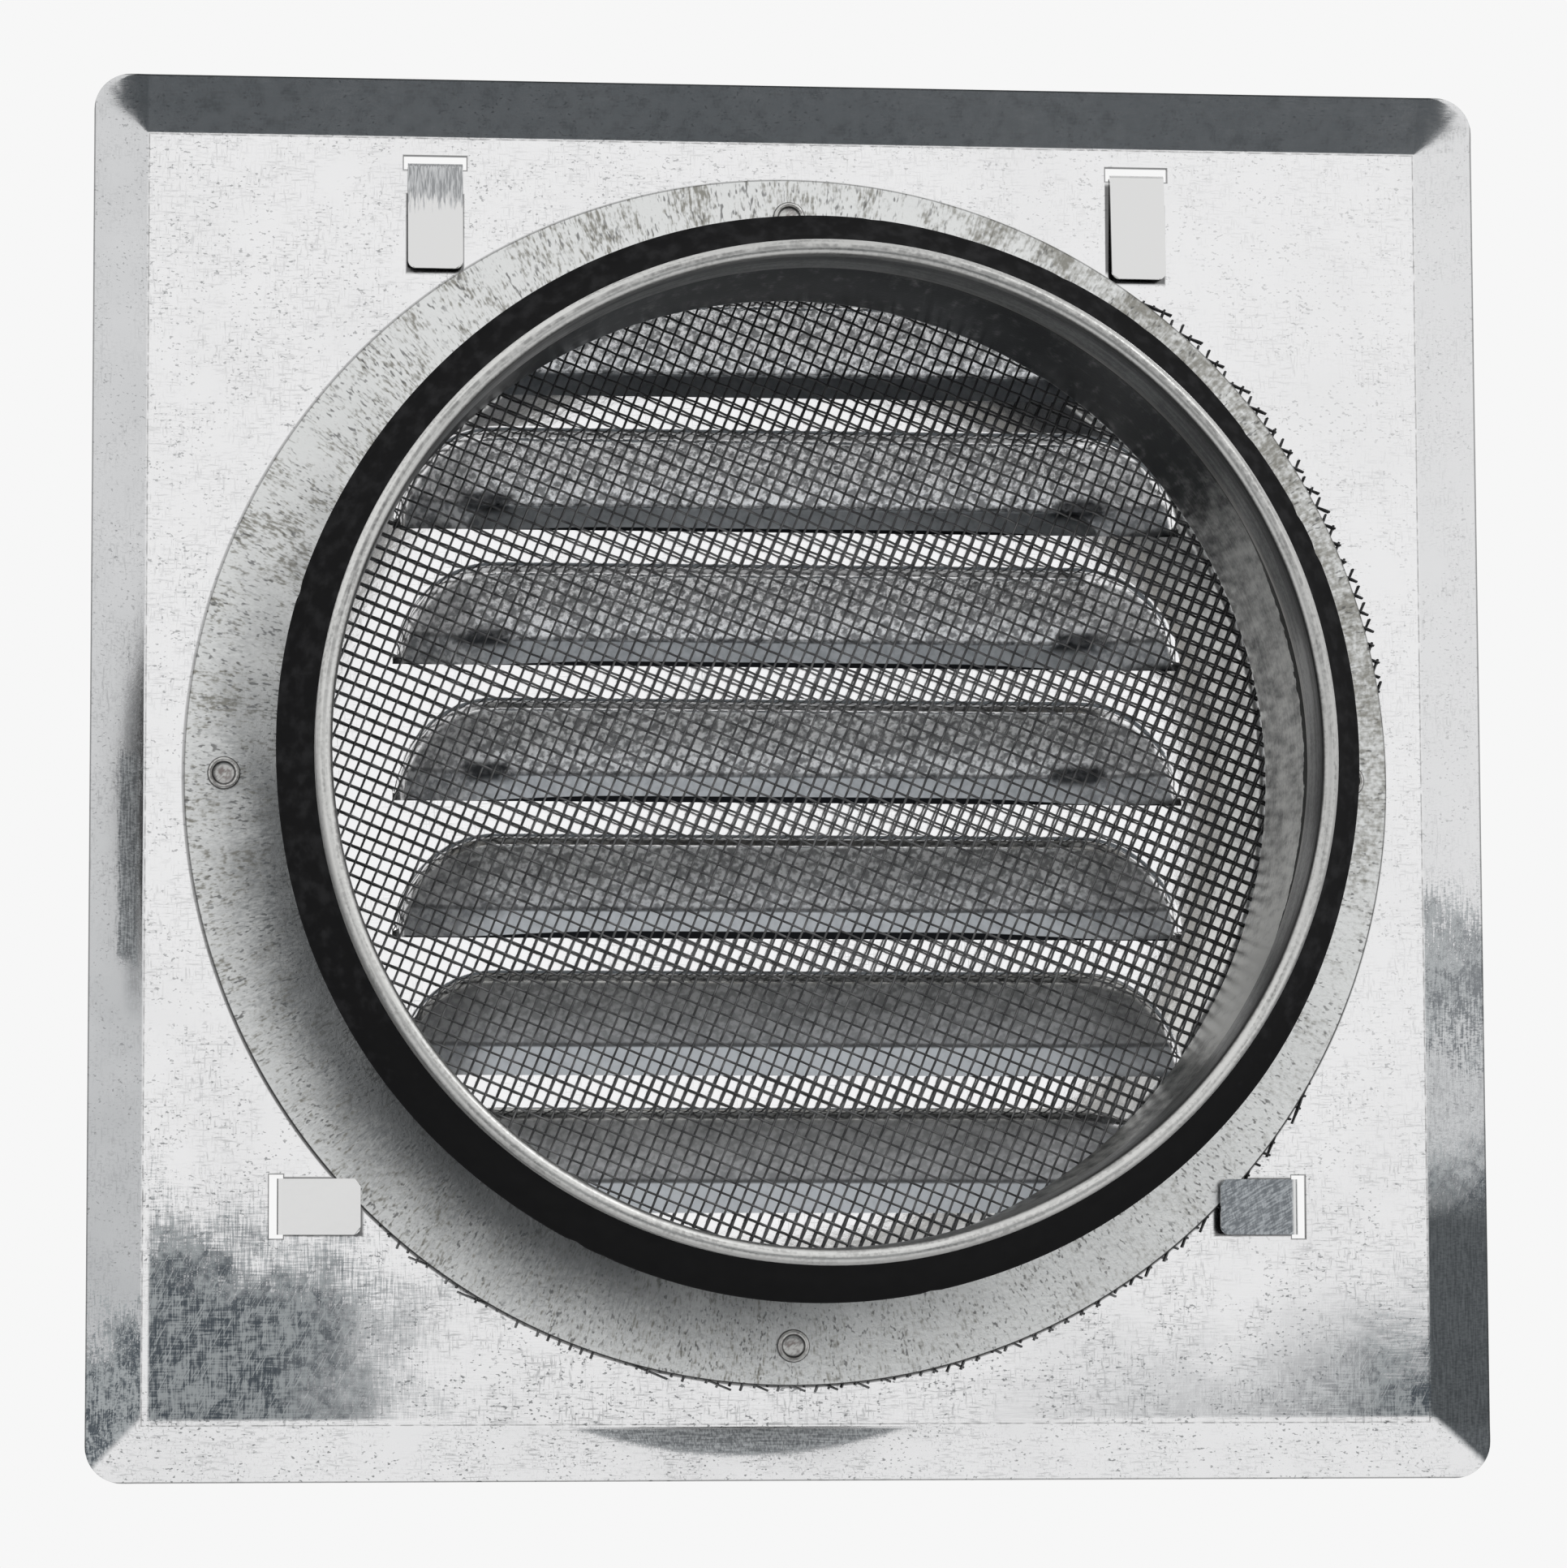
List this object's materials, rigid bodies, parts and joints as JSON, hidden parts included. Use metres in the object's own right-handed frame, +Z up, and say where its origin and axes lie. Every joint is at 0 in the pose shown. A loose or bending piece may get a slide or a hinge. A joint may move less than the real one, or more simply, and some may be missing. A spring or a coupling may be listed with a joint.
{
  "type": "ventilation grille",
  "caption": "Square galvanised wall ventilation grille with pressed louvres, woven insect mesh and a round duct spigot with a rubber lip seal.",
  "frame": {"origin": "on the spigot's axis, in the wall plane that the back edge of the base plate's rim rests on", "axes": "+Z up as the grille hangs, +Y along the spigot into the wall, so the louvred front looks along -Y"},
  "size_m": [0.23, 0.0595, 0.23],
  "materials": {
    "plate_steel": "hot-dip galvanised sheet, fine spangle",
    "panel_steel": "hot-dip galvanised sheet, bright",
    "mesh_wire": "dull dark steel wire, plain weave",
    "collar_steel": "galvanised sheet, warm grey with rolling streaks",
    "seal_rubber": "matt black rubber",
    "rivet_steel": "bright zinc-plated steel"
  },
  "bodies": {
    "root": {"base_plate": "plate_steel", "louvre_panel": "panel_steel", "insect_mesh": "mesh_wire", "spigot_collar": "collar_steel", "sealing_ring": "seal_rubber", "rivet_top": "rivet_steel", "rivet_bottom": "rivet_steel", "rivet_left": "rivet_steel", "rivet_right": "rivet_steel"}
  },
  "joints": []
}
